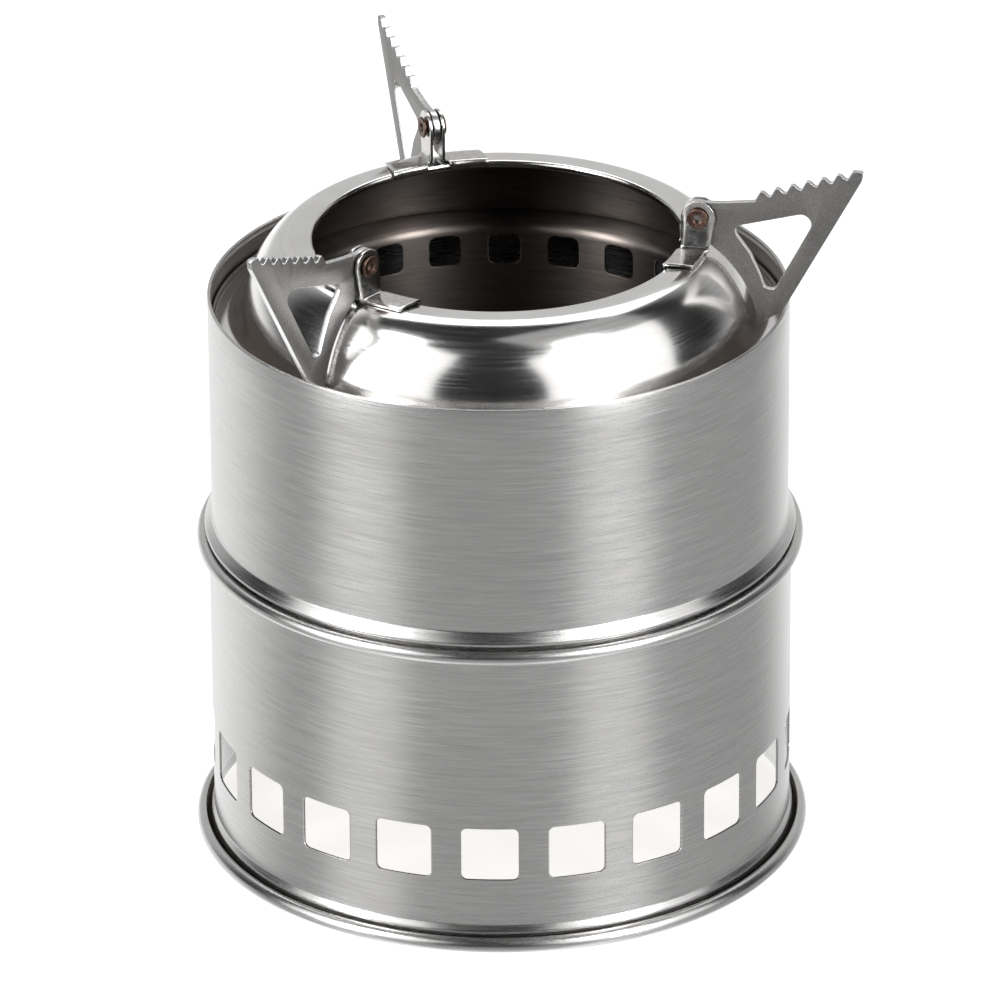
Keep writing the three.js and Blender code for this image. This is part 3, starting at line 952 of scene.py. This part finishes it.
# Name, azimuth and elevation, then distance, width and height in metres, and power in watts
SOFTBOXES = (
    ("softbox_left", -57, 25, 1.5, 1.6, 1.25, 8.8),
    ("softbox_left_core", -58, 27, 1.45, 0.4, 1.3, 19),
    ("softbox_right", 52, 24, 1.5, 1.75, 1.2, 9),
    ("softbox_right_core", 46, 27, 1.45, 0.4, 1.3, 19),
    ("softbox_right_high", 58, 60, 1.5, 1.3, 0.9, 1.5),
    ("softbox_back", 180, 62, 1.5, 1.6, 0.8, 9),
)
LIGHT_TARGET_Z = 0.1
SHADE_RADIUS = 56.0
FLOOR_HALF_SIDE = 12
CAMERA_TURN = 11.0  # degrees that the view turns left of the row's +Y
CAMERA_ELEVATION = 25.381
CAMERA_ROLL = -0.385
CAMERA_DISTANCE = 1.96135
CAMERA_TARGET_Z = 0.07686
CAMERA_LENS = 323.14


def floor():
    """A wide pale floor, softly lit from within so that it stays even."""
    mesh = bmesh.new()
    bmesh.ops.create_grid(mesh, x_segments=8, y_segments=8, size=FLOOR_HALF_SIDE)
    made = finished("floor", mesh)
    material = bpy.data.materials.new("pale_floor")
    nodes = Nodes(material)
    mottle = nodes.streaks((4, 4, 4), detail=2)
    color = nodes.between(nodes.ranged(mottle, 0, 1), (0.34, 0.34, 0.338, 1), (0.38, 0.38, 0.378, 1))
    nodes.glowing(color, (1.0, 0.985, 0.96, 1), 0.86)
    made.data.materials.append(material)
    made.visible_glossy = False  # the metal mirrors the world's ground instead


def ground_shade():
    """What the stove's inside mirrors below it: the dark patch of floor that it stands on."""
    mesh = bmesh.new()
    bmesh.ops.create_circle(mesh, cap_ends=True, segments=96, radius=SHADE_RADIUS * MM)
    made = finished("ground_shade", mesh)
    made.location = (AXIS_X * MM, 0, 0.1 * MM)
    material = bpy.data.materials.new("ground_shade")
    Nodes(material).glowing((0.25, 0.24, 0.23, 1), (1.0, 0.97, 0.93, 1), 0.18)
    made.data.materials.append(material)
    made.visible_camera = False
    made.visible_diffuse = False
    made.visible_shadow = False


def view_directions(turn, elevation):
    """Forward, right and up of a camera that looks along +Y turned left by turn, down by elevation."""
    a, e = math.radians(turn), math.radians(elevation)
    forward = Vector((-math.sin(a) * math.cos(e), math.cos(a) * math.cos(e), -math.sin(e)))
    right = Vector((math.cos(a), math.sin(a), 0))
    return forward, right, right.cross(forward)


def camera():
    """A long lens at the photograph's angle: above the stove's front, a little to its right."""
    forward, right, up = view_directions(CAMERA_TURN, CAMERA_ELEVATION)
    roll = math.radians(CAMERA_ROLL)
    x = right * math.cos(roll) + up * math.sin(roll)
    y = up * math.cos(roll) - right * math.sin(roll)
    place = Vector((AXIS_X * MM, 0, CAMERA_TARGET_Z)) - forward * CAMERA_DISTANCE
    data = bpy.data.cameras.new("camera")
    data.lens = CAMERA_LENS
    data.sensor_width = 36
    data.clip_end = 40
    made = bpy.data.objects.new("camera", data)
    made.matrix_world = Matrix.Translation(place) @ Matrix((x, y, -forward)).transposed().to_4x4()
    bpy.context.scene.collection.objects.link(made)
    bpy.context.scene.camera = made


def toward(azimuth, elevation=0):
    """Direction from the stove to a place in the studio."""
    forward, right, _ = view_directions(CAMERA_TURN, 0)
    a, e = math.radians(azimuth), math.radians(elevation)
    level = right * math.sin(a) - forward * math.cos(a)
    return level * math.cos(e) + Vector((0, 0, math.sin(e)))


def softbox(name, azimuth, elevation, distance, width, height, power):
    """A rectangular light aimed at the stove."""
    data = bpy.data.lights.new(name, "AREA")
    data.shape = "RECTANGLE"
    data.size, data.size_y = width, height
    data.energy = power
    made = bpy.data.objects.new(name, data)
    direction = toward(azimuth, elevation)
    made.location = Vector((AXIS_X * MM, 0, LIGHT_TARGET_Z)) + direction * distance
    made.rotation_euler = direction.to_track_quat("Z", "Y").to_euler()
    made.visible_camera = False
    bpy.context.scene.collection.objects.link(made)


def world():
    """What the metal mirrors: a lit ground with brighter pools, a white sweep behind and a dim room."""
    made = bpy.data.worlds.new("studio")
    bpy.context.scene.world = made
    nodes = Nodes(made)
    direction = nodes.add("TexCoord").outputs["Generated"]
    level = nodes.add("VectorMath", {0: direction, 1: (1, 1, 0)}, operation="MULTIPLY").outputs[0]
    heading = nodes.add("VectorMath", {0: level}, operation="NORMALIZE").outputs[0]
    down = (0, 0, -1)

    def eased(vector, axis, start, end, low, high):
        """Low to high as the vector turns towards the axis, between two cosines."""
        facing = nodes.add("VectorMath", {0: vector, 1: axis}, operation="DOT_PRODUCT").outputs["Value"]
        limits = {"Value": facing, "From Min": start, "From Max": end, "To Min": low, "To Max": high}
        return nodes.add("MapRange", limits, interpolation_type="SMOOTHSTEP").outputs["Result"]

    def combined(a, b, operation):
        """The sum or product of two values."""
        return nodes.add("Math", {0: a, 1: b}, operation=operation).outputs[0]

    ground = GROUND_GLOW
    for azimuth, half_width, added in GROUND_POOLS:
        border = math.cos(math.radians(half_width))
        ground = combined(eased(heading, toward(azimuth), border, 1, 0, added), ground, "ADD")
    above = eased(direction, toward(180), 0.3, 0.8, ROOM_GLOW, SWEEP_GLOW)
    horizon = eased(direction, down, -0.02, 0.12, 0, 1)
    near = combined(eased(direction, down, 0.6, 0.95, 1, NEAR_GROUND), ground, "MULTIPLY")
    mixed = nodes.add("Mix", {"Factor": horizon, "A": above, "B": near}, data_type="FLOAT")
    background = nodes.add("Background", {"Color": (1, 1, 1, 1), "Strength": mixed.outputs[0]})
    nodes.tree.links.new(background.outputs[0], nodes.add("OutputWorld").inputs[0])


floor()
ground_shade()
camera()
for setting in SOFTBOXES:
    softbox(*setting)
world()
bpy.context.scene.view_settings.view_transform = "Standard"
